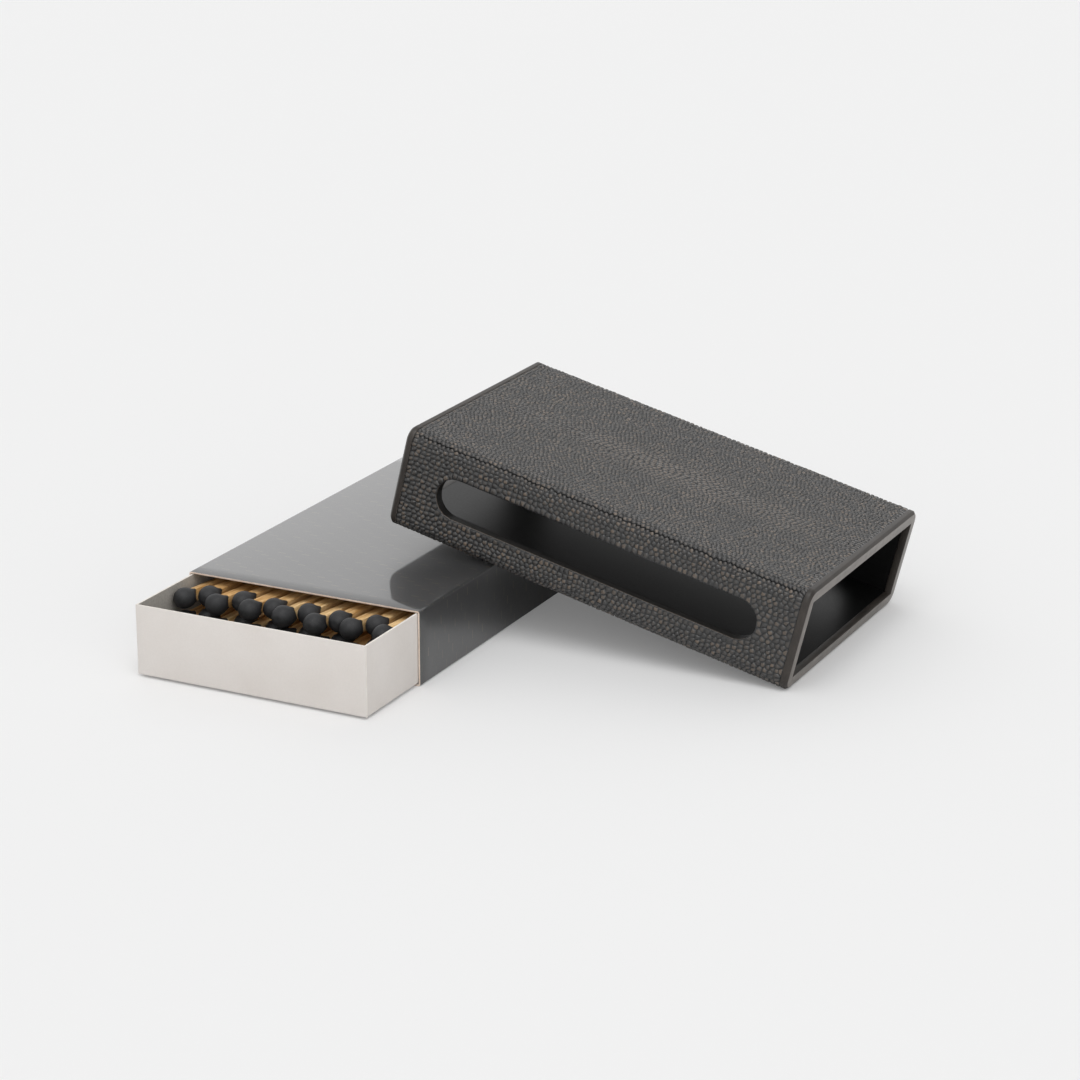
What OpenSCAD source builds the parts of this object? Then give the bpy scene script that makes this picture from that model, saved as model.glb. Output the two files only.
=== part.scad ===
// Matchbox holder: a covered wooden sleeve, open at both ends, with a striking slot in each
// long side. It leans on the matchbox it is made for, whose drawer of matches is pulled out.
// Units are millimetres. +X runs down the length of the holder, +Y along the matchbox from
// its drawer to its far end, and +Z points up. The floor is z = 0.

/* [Show] */
// Sub-part to draw on its own, or all of them

/* [Matchbox cover] */
// Length of the folded card sleeve
cover_length = 110; // [100:1:130]
// Width of the sleeve over the outside
cover_width = 66.4; // [56:0.2:80]
// Height of the sleeve over the outside
cover_height = 19.6; // [18:0.2:26]
// Thickness of the sleeve's card
cover_card = 0.45; // [0.35:0.05:0.7]
// Outside radius of the four long folds
cover_fold_radius = 0.6; // [0.45:0.05:1.2]

/* [Striker strip] */
// Length of the striking surface
striker_length = 104; // [80:1:108]
// Height of the striking surface
striker_height = 14; // [8:0.5:17]
// Thickness of the coating
striker_thickness = 0.12; // [0.1:0.02:0.3]

/* [Drawer] */
// How far the drawer stands out of the cover
drawer_pulled_out = 25.3; // [0:0.1:60]
// Gap between the drawer and the inside of the cover, all round
drawer_play = 0.2; // [0.15:0.05:0.5]
// How much shorter than the cover the drawer is at each end
drawer_end_gap = 0.3; // [0.1:0.1:1.5]
// Thickness of the drawer's card
drawer_card = 0.5; // [0.4:0.05:0.8]
// Outside radius of the drawer's folds
drawer_fold_radius = 0.5; // [0.3:0.05:1]
// Width of the glue flaps behind the end panels
glue_flap_width = 15; // [8:1:24]
// Height that the glue flaps stop short of the rim
glue_flap_step = 1; // [0.5:0.5:4]

/* [Matches] */
// Number of matches side by side in a layer
matches_across = 13; // [10:1:13]
// Length of a match, head included
match_length = 90; // [60:1:90]
// Side of the square stick
stick_side = 3; // [2:0.1:3.2]
// Diameter of the round head
head_diameter = 5.7; // [5:0.1:5.8]
// Length of the dipped part behind the middle of the head
head_tail = 2.4; // [2.2:0.1:2.5]
// Diameter of the dipped part where it ends on the stick
head_tail_diameter = 4.6; // [4.4:0.1:4.7]
// Distance that every second head is set back
head_stagger = 4.6; // [4.5:0.1:6]
// Gap between sticks, where the tail of one lies over the tail of the next
tail_gap = 0.05; // [0.05:0.05:0.5]
// Distance from the drawer's front to the nearest heads
front_space = 12.6; // [6:0.1:13]
// Free height over the heads under the cover
head_top_gap = 0.4; // [0.2:0.1:2]
// Gap between the lowest heads and the drawer's floor
head_floor_gap = 0.1; // [0.05:0.05:0.5]
// Gap between the outer heads and the drawer's sides
head_side_gap = 0.4; // [0.2:0.1:1.5]

/* [Holder] */
// Length that the holder stands past the cover at each end, with the matchbox inside
holder_end_margin = 2; // [0:0.5:8]
// Gap beside the matchbox on each side, inside the holder
holder_side_play = 0.7; // [0.3:0.1:2]
// Gap over and under the matchbox, inside the holder
holder_height_play = 0.6; // [0.3:0.1:2]
// Thickness of the wooden boards
board_thickness = 2.4; // [1.8:0.1:5]
// Thickness of the shagreen skin
skin_thickness = 0.6; // [0.4:0.05:1.2]
// Thickness of the lining
lining_thickness = 0.4; // [0.25:0.05:0.8]
// Outside radius of the four long edges
holder_edge_radius = 3.5; // [2:0.1:5]
// Width of the smooth band left on the outside at each end
band_width = 1.2; // [0.8:0.1:4]
// Bevel round the mouth, from the outside to the flat rim
band_bevel = 0.7; // [0.3:0.1:1.5]
// Gap between the two edges of the skin, where they meet under the holder
seam_gap = 0.3; // [0.1:0.1:1]

/* [Striking slots] */
// Height of the slot in each long side
slot_height = 11; // [6:0.5:14]
// Distance from each end of the holder to the slot
slot_end_margin = 11.5; // [8:0.5:30]

/* [Lean] */
// Distance along the floor from the cover to the holder's low edge
lean_run = 80.8; // [70:0.1:100]
// Distance from the cover's front end to the holder's near side
holder_setback = 36.1; // [0:0.1:60]
// Gap between the holder's underside and the edge of the cover it leans on
lean_gap = 0.2; // [0.15:0.05:0.5]

/* [Hidden] */
// Extra length that lets a cut pass clean through
cut = 1;

// Drawer, inside the cover
drawer_length = cover_length - 2 * drawer_end_gap;
drawer_width = cover_width - 2 * cover_card - 2 * drawer_play;
drawer_height = cover_height - 2 * cover_card - 2 * drawer_play;
drawer_x = cover_card + drawer_play;
drawer_z = cover_card + drawer_play;

// Matches, inside the drawer
head_radius = head_diameter / 2;
cone_step = 0.1;
first_match_x = drawer_x + drawer_card + head_side_gap + head_radius;
last_match_x = drawer_x + drawer_width - drawer_card - head_side_gap - head_radius;
match_pitch = (last_match_x - first_match_x) / (matches_across - 1);
drawer_floor_z = drawer_z + drawer_card;
bottom_head_z = drawer_floor_z + head_floor_gap + head_radius;
top_head_z = cover_height - cover_card - head_top_gap - head_radius;
layers_above_bottom = 2;
layer_pitch = (top_head_z - bottom_head_z) / layers_above_bottom;
tail_pitch = stick_side + tail_gap;

// Holder, made to slide over the cover
holder_wall = board_thickness + skin_thickness + lining_thickness;
holder_length = cover_length + 2 * holder_end_margin;
mouth_width = cover_width + 2 * holder_side_play;
mouth_height = cover_height + 2 * holder_height_play;
holder_width = mouth_width + 2 * holder_wall;
holder_height = mouth_height + 2 * holder_wall;
band_length = band_width + band_bevel;
covered_length = holder_length - 2 * band_length;
slot_length = holder_length - 2 * slot_end_margin;

// Angle at which the underside just clears the cover's upper fold
fold_run = lean_run + cover_fold_radius;
fold_height = cover_height - cover_fold_radius;
fold_reach = sqrt(fold_run * fold_run + fold_height * fold_height);
lean = atan2(fold_height, fold_run) + asin((cover_fold_radius + lean_gap) / fold_reach);

// Outside limits of the whole set, used to centre it on the origin
heel_x = cover_width + lean_run;
x_low = -striker_thickness;
x_high = heel_x + band_bevel * cos(lean) + (holder_height - band_bevel) * sin(lean);
y_high = drawer_pulled_out + max(cover_length, holder_setback + holder_width);
middle_x = (x_low + x_high) / 2;
middle_y = y_high / 2;

card_colour = [0.13, 0.13, 0.14];
striker_colour = [0.2, 0.14, 0.12];
tray_colour = [0.88, 0.86, 0.83];
stick_colour = [0.87, 0.66, 0.38];
head_colour = [0.08, 0.08, 0.09];
board_colour = [0.55, 0.42, 0.3];
skin_colour = [0.24, 0.22, 0.2];
lining_colour = [0.1, 0.1, 0.1];
band_colour = [0.33, 0.29, 0.26];

// Puts the matchbox on the floor, centred with the whole set
module matchbox_pose() {
    translate([-middle_x, -middle_y, 0]) children();
}

// Leans the holder: its low edge is on the floor and its underside on the cover
module holder_pose() {
    translate([heel_x - middle_x, drawer_pulled_out + holder_setback - middle_y, 0])
        rotate([0, lean, 0])
            children();
}

// Rounded rectangle with one corner at the origin
module rounded_section(width, height, radius) {
    translate([radius, 0]) square([width - 2 * radius, height]);
    translate([0, radius]) square([width, height - 2 * radius]);
    for (x = [radius, width - radius])
        for (y = [radius, height - radius])
            translate([x, y]) circle(r = radius, $fn = 64);
}

// Stands a section in the YZ plane and draws it out along +X
module drawn_along_x(length) {
    rotate([90, 0, 90]) linear_extrude(height = length) children();
}

// Stands a section in the XZ plane and draws it out along +Y
module drawn_along_y(length) {
    translate([0, length, 0])
        rotate([90, 0, 0])
            linear_extrude(height = length)
                children();
}

// Outside of the holder, set in by a depth: 0 is the outside of the skin
module holder_section(depth) {
    radius = max(holder_edge_radius - depth, 0);
    translate([depth, depth])
        if (radius > 0)
            rounded_section(holder_width - 2 * depth, holder_height - 2 * depth, radius);
        else
            square([holder_width - 2 * depth, holder_height - 2 * depth]);
}

// Hollow that the matchbox slides through, set out by a depth into the wall
module mouth_section(depth) {
    translate([holder_wall - depth, holder_wall - depth])
        square([mouth_width + 2 * depth, mouth_height + 2 * depth]);
}

// Starts a piece at the high end, behind the band, and draws it to the low band
module between_bands() {
    translate([band_bevel + band_length - holder_length, 0, 0])
        drawn_along_x(covered_length)
            children();
}

// Striking slot with round ends, cut through both long sides
module slots() {
    first_x = band_bevel - holder_length + slot_end_margin + slot_height / 2;
    straight = slot_length - slot_height;
    for (x = [first_x, first_x + straight])
        translate([x, -cut, holder_height / 2])
            rotate([-90, 0, 0])
                cylinder(d = slot_height, h = holder_width + 2 * cut, $fn = 96);
    translate([first_x, -cut, (holder_height - slot_height) / 2])
        cube([straight, holder_width + 2 * cut, slot_height]);
}

// Mitred quarter of the holder's section: side 0 is the bottom, 1 the near side,
// 2 the top and 3 the far side. Its sloping lines run through the mouth's corners.
module mitre(side) {
    reach = holder_wall + cut;
    low_y = holder_wall;
    high_y = holder_wall + mouth_width;
    low_z = holder_wall;
    high_z = holder_wall + mouth_height;
    if (side == 0)
        polygon([[low_y, low_z], [high_y, low_z], [high_y + reach, low_z - reach],
            [low_y - reach, low_z - reach]]);
    if (side == 1)
        polygon([[low_y, low_z], [low_y, high_z], [low_y - reach, high_z + reach],
            [low_y - reach, low_z - reach]]);
    if (side == 2)
        polygon([[low_y, high_z], [high_y, high_z], [high_y + reach, high_z + reach],
            [low_y - reach, high_z + reach]]);
    if (side == 3)
        polygon([[high_y, low_z], [high_y, high_z], [high_y + reach, high_z + reach],
            [high_y + reach, low_z - reach]]);
}

module board_section(side) {
    intersection() {
        difference() {
            holder_section(skin_thickness);
            mouth_section(lining_thickness);
        }
        mitre(side);
    }
}

module holder_board(side, slotted) {
    color(board_colour)
        holder_pose()
            difference() {
                between_bands() board_section(side);
                if (slotted) slots();
            }
}

module holder_top_board() {
    holder_board(2, false);
}

module holder_bottom_board() {
    holder_board(0, false);
}

module holder_front_board() {
    holder_board(1, true);
}

module holder_rear_board() {
    holder_board(3, true);
}

// One skin round all four sides; its edges meet in a seam along the underside
module shagreen_wrap() {
    color(skin_colour)
        holder_pose()
            difference() {
                between_bands()
                    difference() {
                        holder_section(0);
                        holder_section(skin_thickness);
                        translate([(holder_width - seam_gap) / 2, -cut])
                            square([seam_gap, skin_thickness + 2 * cut]);
                    }
                slots();
            }
}

module lining_section(side) {
    intersection() {
        difference() {
            mouth_section(lining_thickness);
            mouth_section(0);
        }
        mitre(side);
    }
}

module holder_lining(side, slotted) {
    color(lining_colour)
        holder_pose()
            difference() {
                between_bands() lining_section(side);
                if (slotted) slots();
            }
}

module holder_top_lining() {
    holder_lining(2, false);
}

module holder_bottom_lining() {
    holder_lining(0, false);
}

module holder_front_lining() {
    holder_lining(1, true);
}

module holder_rear_lining() {
    holder_lining(3, true);
}

// Bevelled end of the band: its face is smaller than its back by the bevel all round
module bevelled_frame() {
    radius = holder_edge_radius;
    for (y = [radius, holder_width - radius])
        for (z = [radius, holder_height - radius])
            translate([0, y, z])
                rotate([0, 90, 0])
                    cylinder(r1 = radius, r2 = radius - band_bevel, h = band_bevel, $fn = 64);
    translate([0, radius, 0])
        drawn_along_y(holder_width - 2 * radius)
            polygon([[0, 0], [band_bevel, band_bevel],
                [band_bevel, holder_height - band_bevel], [0, holder_height]]);
    translate([0, 0, radius])
        linear_extrude(height = holder_height - 2 * radius)
            polygon([[0, 0], [band_bevel, band_bevel],
                [band_bevel, holder_width - band_bevel], [0, holder_width]]);
}

// Smooth frame closing the end of the boards, skin and lining; its bevel faces +X
module end_band() {
    difference() {
        union() {
            translate([-band_width, 0, 0]) drawn_along_x(band_width) holder_section(0);
            bevelled_frame();
        }
        translate([-band_length - cut, 0, 0])
            drawn_along_x(2 * band_length + 2 * cut)
                mouth_section(0);
    }
}

module right_end_band() {
    color(band_colour) holder_pose() end_band();
}

module left_end_band() {
    color(band_colour)
        holder_pose()
            translate([2 * band_bevel - holder_length, 0, 0])
                mirror([1, 0, 0])
                    end_band();
}

// Card sleeve, folded along its four long edges
module cover_sleeve() {
    color(card_colour)
        matchbox_pose()
            translate([0, drawer_pulled_out, 0])
                drawn_along_y(cover_length)
                    difference() {
                        rounded_section(cover_width, cover_height, cover_fold_radius);
                        translate([cover_card, cover_card])
                            square([cover_width - 2 * cover_card, cover_height - 2 * cover_card]);
                    }
}

// Striking surface on the side of the cover that faces away from the holder's low end
module striker_strip() {
    color(striker_colour)
        matchbox_pose()
            translate([
                -striker_thickness,
                drawer_pulled_out + (cover_length - striker_length) / 2,
                (cover_height - striker_height) / 2
            ])
                cube([striker_thickness, striker_length, striker_height]);
}

// Floor and long sides of the drawer, folded from one sheet
module tray_trough() {
    translate([0, drawer_card, 0])
        drawn_along_y(drawer_length - 2 * drawer_card)
            difference() {
                intersection() {
                    rounded_section(
                        drawer_width, drawer_height + drawer_fold_radius + cut, drawer_fold_radius
                    );
                    square([drawer_width, drawer_height]);
                }
                translate([drawer_card, drawer_card])
                    square([drawer_width - 2 * drawer_card, drawer_height]);
            }
}

// Front or rear panel, folded up from the floor over the glue flaps
module end_panel() {
    drawn_along_y(drawer_card)
        intersection() {
            rounded_section(
                drawer_width, drawer_height + drawer_fold_radius + cut, drawer_fold_radius
            );
            square([drawer_width, drawer_height]);
        }
}

// Pair of flaps folded in from the long sides and glued behind an end panel
module glue_flaps() {
    flap_height = drawer_height - drawer_card - glue_flap_step;
    for (x = [drawer_card, drawer_width - drawer_card - glue_flap_width])
        translate([x, drawer_card, drawer_card])
            cube([glue_flap_width, drawer_card, flap_height]);
}

// Folded card drawer
module drawer_tray() {
    color(tray_colour)
        matchbox_pose()
            translate([drawer_x, 0, drawer_z]) {
                tray_trough();
                end_panel();
                glue_flaps();
                translate([0, drawer_length, 0]) mirror([0, 1, 0]) {
                    end_panel();
                    glue_flaps();
                }
            }
}

// Places one child for each match of a layer, every second one set back. The heads lie on
// heads and the thinner tails on tails, so the sticks slope down from the heads.
module across_layer(layer) {
    head_z = bottom_head_z + layer * layer_pitch;
    tail_z = drawer_floor_z + tail_gap + stick_side / 2 + layer * tail_pitch;
    slope = asin((head_z - tail_z) / (match_length - head_radius));
    for (i = [0 : matches_across - 1])
        translate([
            first_match_x + i * match_pitch,
            front_space + head_radius + head_stagger * (i % 2),
            head_z
        ])
            rotate([-slope, 0, 0])
                children();
}

// Square stick, from inside the head to its tail
module stick() {
    translate([-stick_side / 2, 0, -stick_side / 2])
        cube([stick_side, match_length - head_radius, stick_side]);
}

// Dipped head: round in front, tapering on to the stick behind
module head() {
    difference() {
        union() {
            sphere(d = head_diameter, $fn = 48);
            rotate([-90, 0, 0])
                cylinder(d1 = head_diameter - cone_step, d2 = head_tail_diameter,
                    h = head_tail, $fn = 48);
        }
        stick();
    }
}

module layer_sticks(layer) {
    color(stick_colour) matchbox_pose() across_layer(layer) stick();
}

module layer_heads(layer) {
    color(head_colour) matchbox_pose() across_layer(layer) head();
}

module bottom_layer_sticks() {
    layer_sticks(0);
}

module middle_layer_sticks() {
    layer_sticks(1);
}

module top_layer_sticks() {
    layer_sticks(layers_above_bottom);
}

module bottom_layer_heads() {
    layer_heads(0);
}

module middle_layer_heads() {
    layer_heads(1);
}

module top_layer_heads() {
    layer_heads(layers_above_bottom);
}

holder_top_board();
holder_bottom_board();
holder_front_board();
holder_rear_board();
shagreen_wrap();
holder_top_lining();
holder_bottom_lining();
holder_front_lining();
holder_rear_lining();
left_end_band();
right_end_band();
cover_sleeve();
striker_strip();
drawer_tray();
bottom_layer_sticks();
middle_layer_sticks();
top_layer_sticks();
bottom_layer_heads();
middle_layer_heads();
top_layer_heads();
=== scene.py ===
# A shagreen matchbox holder leaning on the matchbox it is made for.
import math
import random

import bmesh
import bpy
import numpy as np
from mathutils import Matrix, Vector
from mathutils.geometry import delaunay_2d_cdt


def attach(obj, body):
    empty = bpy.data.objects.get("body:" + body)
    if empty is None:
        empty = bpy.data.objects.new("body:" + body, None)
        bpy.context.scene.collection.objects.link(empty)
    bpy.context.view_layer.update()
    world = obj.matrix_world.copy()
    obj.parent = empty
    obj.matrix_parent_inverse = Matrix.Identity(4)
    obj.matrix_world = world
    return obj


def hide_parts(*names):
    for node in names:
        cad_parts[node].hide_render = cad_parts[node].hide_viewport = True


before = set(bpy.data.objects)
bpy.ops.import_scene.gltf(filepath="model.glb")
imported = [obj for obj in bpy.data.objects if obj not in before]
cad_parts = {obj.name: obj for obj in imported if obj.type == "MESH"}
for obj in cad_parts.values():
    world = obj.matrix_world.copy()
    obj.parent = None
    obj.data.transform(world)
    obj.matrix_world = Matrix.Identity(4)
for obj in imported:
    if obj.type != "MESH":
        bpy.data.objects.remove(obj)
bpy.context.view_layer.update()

bpy.ops.object.select_all(action="DESELECT")

# Camera: it stands where the photograph was taken from, a little above the set, and looks
# along it from the drawer's near corner through a long lens.
mm = 0.001
camera_place = Vector((334.39, -662.39, 277.36)) * mm
camera_direction = Vector((-0.4262, 0.84616, -0.31995))
bpy.ops.object.camera_add(location=camera_place)
camera = bpy.context.object
camera.rotation_euler = camera_direction.to_track_quat("-Z", "Y").to_euler()
camera.data.lens = 103.13
camera.data.sensor_width = 36
bpy.context.scene.camera = camera
bpy.context.scene.view_settings.view_transform = "Standard"

# Table and light: a wide pale table in an evenly lit white room, with a bright wall behind the
# set, a broad soft light overhead that is tilted to the camera, and a weaker one on the right.
def node(tree, kind, inputs=None, **settings):
    made = tree.nodes.new("ShaderNode" + kind)
    for name, value in settings.items():
        setattr(made, name, value)
    for name, value in (inputs or {}).items():
        if isinstance(value, bpy.types.NodeSocket):
            tree.links.new(value, made.inputs[name])
        else:
            made.inputs[name].default_value = value
    return made


def sum_of(tree, operation, first, second):
    return node(tree, "Math", {0: first, 1: second}, operation=operation).outputs[0]


pale = 0.885
room = bpy.data.worlds.new("room")
bpy.context.scene.world = room
room.use_nodes = True
room_tree = room.node_tree
room_tree.nodes.clear()
looking = node(room_tree, "TexCoord").outputs["Generated"]
brightness = 0.55
lights = (
    ((-0.43, 0.84, 0.25), 30, 60, 0.45),
    ((0.15, -0.3, 0.94), 14, 26, 2.2),
    ((0.5, -0.85, 0.45), 20, 55, 0.6),
)
for direction, full, faded, strength in lights:
    facing = node(
        room_tree,
        "VectorMath",
        {0: looking, 1: Vector(direction).normalized()},
        operation="DOT_PRODUCT",
    )
    glow = node(
        room_tree,
        "MapRange",
        {
            "Value": facing.outputs["Value"],
            "From Min": math.cos(math.radians(faded)),
            "From Max": math.cos(math.radians(full)),
            "To Max": strength,
        },
        interpolation_type="SMOOTHSTEP",
    )
    brightness = sum_of(room_tree, "ADD", glow.outputs["Result"], brightness)
seen = node(room_tree, "LightPath").outputs["Is Camera Ray"]
lit_room = node(room_tree, "Background", {"Strength": brightness})
shown_room = node(room_tree, "Background", {"Strength": pale})
room_mix = node(room_tree, "MixShader", {0: seen, 1: lit_room.outputs[0], 2: shown_room.outputs[0]})
lit_room.inputs["Color"].default_value = (1, 1, 1, 1)
shown_room.inputs["Color"].default_value = (1, 1, 1, 1)
node(room_tree, "OutputWorld", {"Surface": room_mix.outputs[0]})

bpy.ops.mesh.primitive_plane_add(size=24)
table = bpy.context.object
table.name = "table"
table_finish = bpy.data.materials.new("table_paint")
table_finish.use_nodes = True
table_shader = table_finish.node_tree.nodes["Principled BSDF"]
table_shader.inputs["Base Color"].default_value = (0.75, 0.75, 0.75, 1)
table_shader.inputs["Emission Color"].default_value = (1, 1, 1, 1)
table_seen = node(table_finish.node_tree, "LightPath").outputs["Is Camera Ray"]
table_lift = sum_of(table_finish.node_tree, "MULTIPLY", table_seen, 0.13)
table_finish.node_tree.links.new(table_lift, table_shader.inputs["Emission Strength"])
table_shader.inputs["Roughness"].default_value = 1
table_shader.inputs["Specular IOR Level"].default_value = 0
table.data.materials.append(table_finish)


# Holder boards: four mitred slips of thin limewood, glued into a tube. The front and the rear
# one have the striking slot cut through them, and its walls are stained black.
holder_width = 74.6 * mm
holder_height = 27.6 * mm
holder_end = 0.7 * mm
holder_length = 114 * mm
slot_height = 11 * mm
slot_low_x = -101.8 * mm
slot_high_x = -10.8 * mm
lean = math.radians(13.686844)
heel = Vector((70.1375, -6.6, 0)) * mm
holder_pose = Matrix.Translation(heel) @ Matrix.Rotation(lean, 4, "Y")


def new_group(name, inputs, outputs):
    group = bpy.data.node_groups.new(name, "ShaderNodeTree")
    for socket, kind in inputs:
        group.interface.new_socket(socket, in_out="INPUT", socket_type="NodeSocket" + kind)
    for socket, kind in outputs:
        group.interface.new_socket(socket, in_out="OUTPUT", socket_type="NodeSocket" + kind)
    given = group.nodes.new("NodeGroupInput")
    result = group.nodes.new("NodeGroupOutput")
    return group, given.outputs, result.inputs


def place_group(tree, group, inputs):
    made = tree.nodes.new("ShaderNodeGroup")
    made.node_tree = group
    for name, value in inputs.items():
        if isinstance(value, bpy.types.NodeSocket):
            tree.links.new(value, made.inputs[name])
        else:
            made.inputs[name].default_value = value
    return made.outputs


# Two sizes of the same soft noise, for colour that drifts and for a surface that isn't even
mottle, mottle_in, mottle_out = new_group(
    "mottle",
    [("Place", "Vector"), ("Fine", "Float"), ("Broad", "Float")],
    [("Fine", "Float"), ("Broad", "Float")],
)
for size in ("Fine", "Broad"):
    clouds = node(
        mottle,
        "TexNoise",
        {"Vector": mottle_in["Place"], "Scale": mottle_in[size], "Detail": 4.0},
    )
    mottle.links.new(clouds.outputs["Fac"], mottle_out[size])

# Lines along the holder, and where its slots are, measured on the holder before it leans
along_holder, along_in, along_out = new_group(
    "along_holder",
    [("Place", "Vector")],
    [("Place", "Vector"), ("Streaks", "Float"), ("Near Slot", "Float")],
)
upright = node(
    along_holder,
    "Mapping",
    {"Vector": along_in["Place"], "Location": heel, "Rotation": (0, lean, 0)},
    vector_type="TEXTURE",
).outputs["Vector"]
stretched = node(along_holder, "Mapping", {"Vector": upright, "Scale": (0.035, 1, 1)})
streaks = node(
    along_holder,
    "TexNoise",
    {"Vector": stretched.outputs["Vector"], "Scale": 2600.0, "Detail": 5.0},
)
sides = node(along_holder, "SeparateXYZ", {"Vector": upright}).outputs
slot_middle = (slot_low_x + slot_high_x) / 2
half_straight = (slot_high_x - slot_low_x - slot_height) / 2
beside = sum_of(along_holder, "SUBTRACT", sides["X"], slot_middle)
beside = sum_of(along_holder, "SUBTRACT", sum_of(along_holder, "ABSOLUTE", beside, 0.0), half_straight)
beside = sum_of(along_holder, "MAXIMUM", beside, 0.0)
over = sum_of(along_holder, "SUBTRACT", sides["Z"], holder_height / 2)
reach = sum_of(
    along_holder,
    "SQRT",
    sum_of(
        along_holder,
        "ADD",
        sum_of(along_holder, "MULTIPLY", beside, beside),
        sum_of(along_holder, "MULTIPLY", over, over),
    ),
    0.0,
)
near_slot = node(
    along_holder,
    "MapRange",
    {
        "Value": reach,
        "From Min": slot_height / 2 + 0.15 * mm,
        "From Max": slot_height / 2 + 0.5 * mm,
        "To Min": 1.0,
        "To Max": 0.0,
    },
)
along_holder.links.new(upright, along_out["Place"])
along_holder.links.new(streaks.outputs["Fac"], along_out["Streaks"])
along_holder.links.new(near_slot.outputs["Result"], along_out["Near Slot"])


def new_finish(name, **sockets):
    finish = bpy.data.materials.new(name)
    finish.use_nodes = True
    shader = finish.node_tree.nodes["Principled BSDF"]
    for socket, value in sockets.items():
        shader.inputs[socket.replace("_", " ")].default_value = value
    place = node(finish.node_tree, "TexCoord").outputs["Object"]
    return finish, finish.node_tree, shader, place


def ramp(tree, factor, *stops):
    made = node(tree, "ValToRGB", {"Fac": factor})
    elements = made.color_ramp.elements
    while len(elements) < len(stops):
        elements.new(0.5)
    for element, (position, colour) in zip(elements, stops):
        element.position = position
        element.color = (*colour, 1)
    return made.outputs["Color"]


def blend_colours(tree, factor, first, second, way="MIX"):
    made = node(tree, "Mix", {"Factor": factor}, data_type="RGBA", blend_type=way)
    for socket, value in ((6, first), (7, second)):
        if isinstance(value, bpy.types.NodeSocket):
            tree.links.new(value, made.inputs[socket])
        else:
            made.inputs[socket].default_value = (*value, 1)
    return made.outputs[2]


def spread(tree, factor, low, high):
    made = node(tree, "MapRange", {"Value": factor, "To Min": low, "To Max": high})
    return made.outputs["Result"]


def add_bump(tree, shader, height, distance, strength=1.0):
    bump = node(tree, "Bump", {"Height": height, "Distance": distance, "Strength": strength})
    tree.links.new(bump.outputs["Normal"], shader.inputs["Normal"])


limewood, tree, shader, place = new_finish("limewood", Specular_IOR_Level=0.35)
lines = place_group(tree, along_holder, {"Place": place})
wood = ramp(tree, lines["Streaks"], (0.3, (0.30, 0.20, 0.12)), (0.7, (0.52, 0.39, 0.26)))
stained = blend_colours(tree, lines["Near Slot"], wood, (0.012, 0.011, 0.010))
tree.links.new(stained, shader.inputs["Base Color"])
tree.links.new(spread(tree, lines["Streaks"], 0.45, 0.7), shader.inputs["Roughness"])
add_bump(tree, shader, lines["Streaks"], 0.04 * mm)
for board in ("holder_top_board", "holder_bottom_board", "holder_front_board", "holder_rear_board"):
    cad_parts[board].data.materials.clear()
    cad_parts[board].data.materials.append(limewood)


# Shagreen: one polished ray skin round all four sides, glued down with its seam underneath and
# cut out at the slots. It is a bed of hard beads, dyed black in the grooves and rubbed back to
# brown on their tops, with a line of larger flat ones down the middle of the lid.
skin_low_x = -111.4 * mm
skin_high_x = -1.2 * mm
skin_thickness = 0.6 * mm
edge_radius = 3.5 * mm
seam_gap = 0.3 * mm
flat_width = holder_width - 2 * edge_radius
flat_height = holder_height - 2 * edge_radius
quarter = math.pi / 2 * edge_radius
# Distance round the skin at which each flat and each rounded edge ends, from under the middle
stations = np.cumsum(
    [0, flat_width / 2, quarter, flat_height, quarter, flat_width, quarter, flat_height, quarter, flat_width / 2]
)
girth = stations[-1]
# A bead's two rings: share of its cell's size, how round, and depth under its top in mm
bead_rings = ((0.80, 0.50, 0.20), (0.50, 0.80, 0.02))
groove_depth = 0.42
lid_middle = girth / 2
slot_rounds = ((stations[2] + stations[3]) / 2, (stations[6] + stations[7]) / 2)
rng = np.random.default_rng(11)


def bead_pitch(x, s):
    from_middle = np.abs(s - lid_middle)
    pearls = np.exp(-((from_middle / (4.5 * mm)) ** 2)) * np.exp(-(((x + 52 * mm) / (34 * mm)) ** 2))
    on_lid = 1 / (1 + np.exp((from_middle - flat_width / 2) / (1.5 * mm)))
    on_side = np.exp(-(((from_middle - flat_width / 2 - quarter - flat_height / 2) / (9 * mm)) ** 2))
    return (1.28 - 0.12 * on_lid + 0.26 * on_side + 0.62 * pearls) * mm


def slot_distance(points):
    """Signed distance to the nearer slot's outline, and the direction away from it."""
    best = np.full(len(points), 1.0)
    away = np.zeros_like(points)
    for middle in slot_rounds:
        x = np.clip(points[:, 0], slot_low_x + slot_height / 2, slot_high_x - slot_height / 2)
        apart = points - np.stack([x, np.full(len(x), middle)], 1)
        size = np.maximum(np.linalg.norm(apart, axis=1), 1e-9)
        distance = size - slot_height / 2
        nearer = distance < best
        best = np.where(nearer, distance, best)
        away = np.where(nearer[:, None], apart / size[:, None], away)
    return best, away


def sow_beads():
    rows = []
    s = seam_gap / 2 + 0.4 * mm
    while s < girth - seam_gap / 2 - 0.3 * mm:
        x = skin_low_x + rng.uniform(0.3, 1.0) * mm
        while x < skin_high_x - 0.3 * mm:
            pitch = bead_pitch(x, s)
            rows.append((x, s + rng.normal(0, 0.16) * pitch))
            x += pitch * rng.uniform(0.78, 1.26)
        s += 0.866 * float(np.mean(bead_pitch(np.linspace(skin_low_x, skin_high_x, 9), s)))
    return np.array(rows)


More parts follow.
